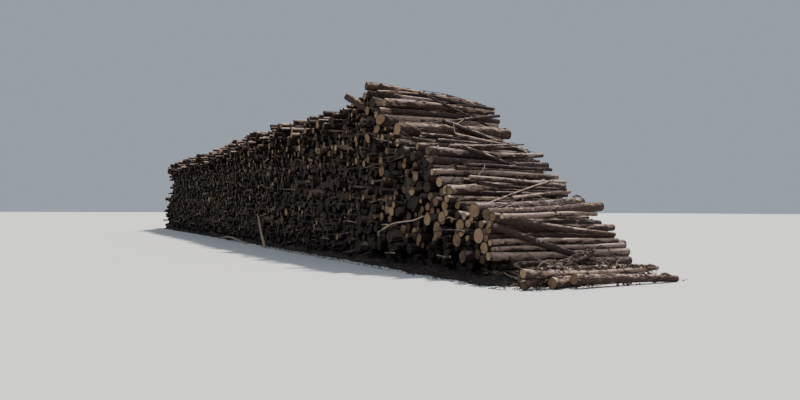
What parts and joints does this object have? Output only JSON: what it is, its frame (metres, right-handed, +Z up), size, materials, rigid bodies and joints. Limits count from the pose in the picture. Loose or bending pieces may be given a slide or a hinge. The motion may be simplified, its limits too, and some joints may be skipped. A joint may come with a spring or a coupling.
{
  "type": "stack of logs",
  "caption": "Long stack of round softwood logs laid side by side across its length, with a sloping near end, a rounded far end and loose toe logs at its foot.",
  "frame": {"origin": "on the ground, in the middle of the whole stack's footprint", "axes": "+X along the stack from its far end to its sloping near end, +Y along the logs from the front face to the back face, +Z up"},
  "size_m": [43.5212, 4.7548, 4.9447],
  "materials": {
    "bark_logs": "rough dry bark, worn to pale wood on top",
    "covered_logs": "rough dry bark",
    "dry_sticks": "weathered bare wood",
    "toe_logs": "rough dry bark",
    "cut_wood": "sawn end grain, weathered",
    "debris": "dry bark and twigs"
  },
  "bodies": {
    "root": {"askew_log_1": "bark_logs", "askew_log_10": "bark_logs", "askew_log_11": "bark_logs", "askew_log_12": "bark_logs", "askew_log_13": "bark_logs", "askew_log_14": "bark_logs", "askew_log_2": "bark_logs", "askew_log_3": "bark_logs", "askew_log_4": "bark_logs", "askew_log_5": "bark_logs", "askew_log_6": "bark_logs", "askew_log_7": "bark_logs", "askew_log_8": "bark_logs", "askew_log_9": "bark_logs", "back_standing_ends": "covered_logs", "covered_logs_core": "covered_logs", "crest_logs_1": "bark_logs", "crest_logs_2": "bark_logs", "crest_logs_3": "bark_logs", "crest_logs_4": "bark_logs", "crest_logs_5": "bark_logs", "far_end_logs_1": "bark_logs", "far_end_logs_2": "bark_logs", "far_end_logs_3": "bark_logs", "far_end_logs_4": "bark_logs", "front_standing_ends": "covered_logs", "leaning_pole": "dry_sticks", "near_end_logs_1": "bark_logs", "near_end_logs_2": "bark_logs", "near_end_logs_3": "bark_logs", "near_end_logs_4": "bark_logs", "near_end_logs_5": "bark_logs", "near_end_logs_6": "bark_logs", "near_end_logs_7": "bark_logs", "toe_log_middle": "toe_logs", "toe_log_outer": "toe_logs", "toe_log_under": "toe_logs", "toe_log_upper": "toe_logs"}
  },
  "joints": []
}
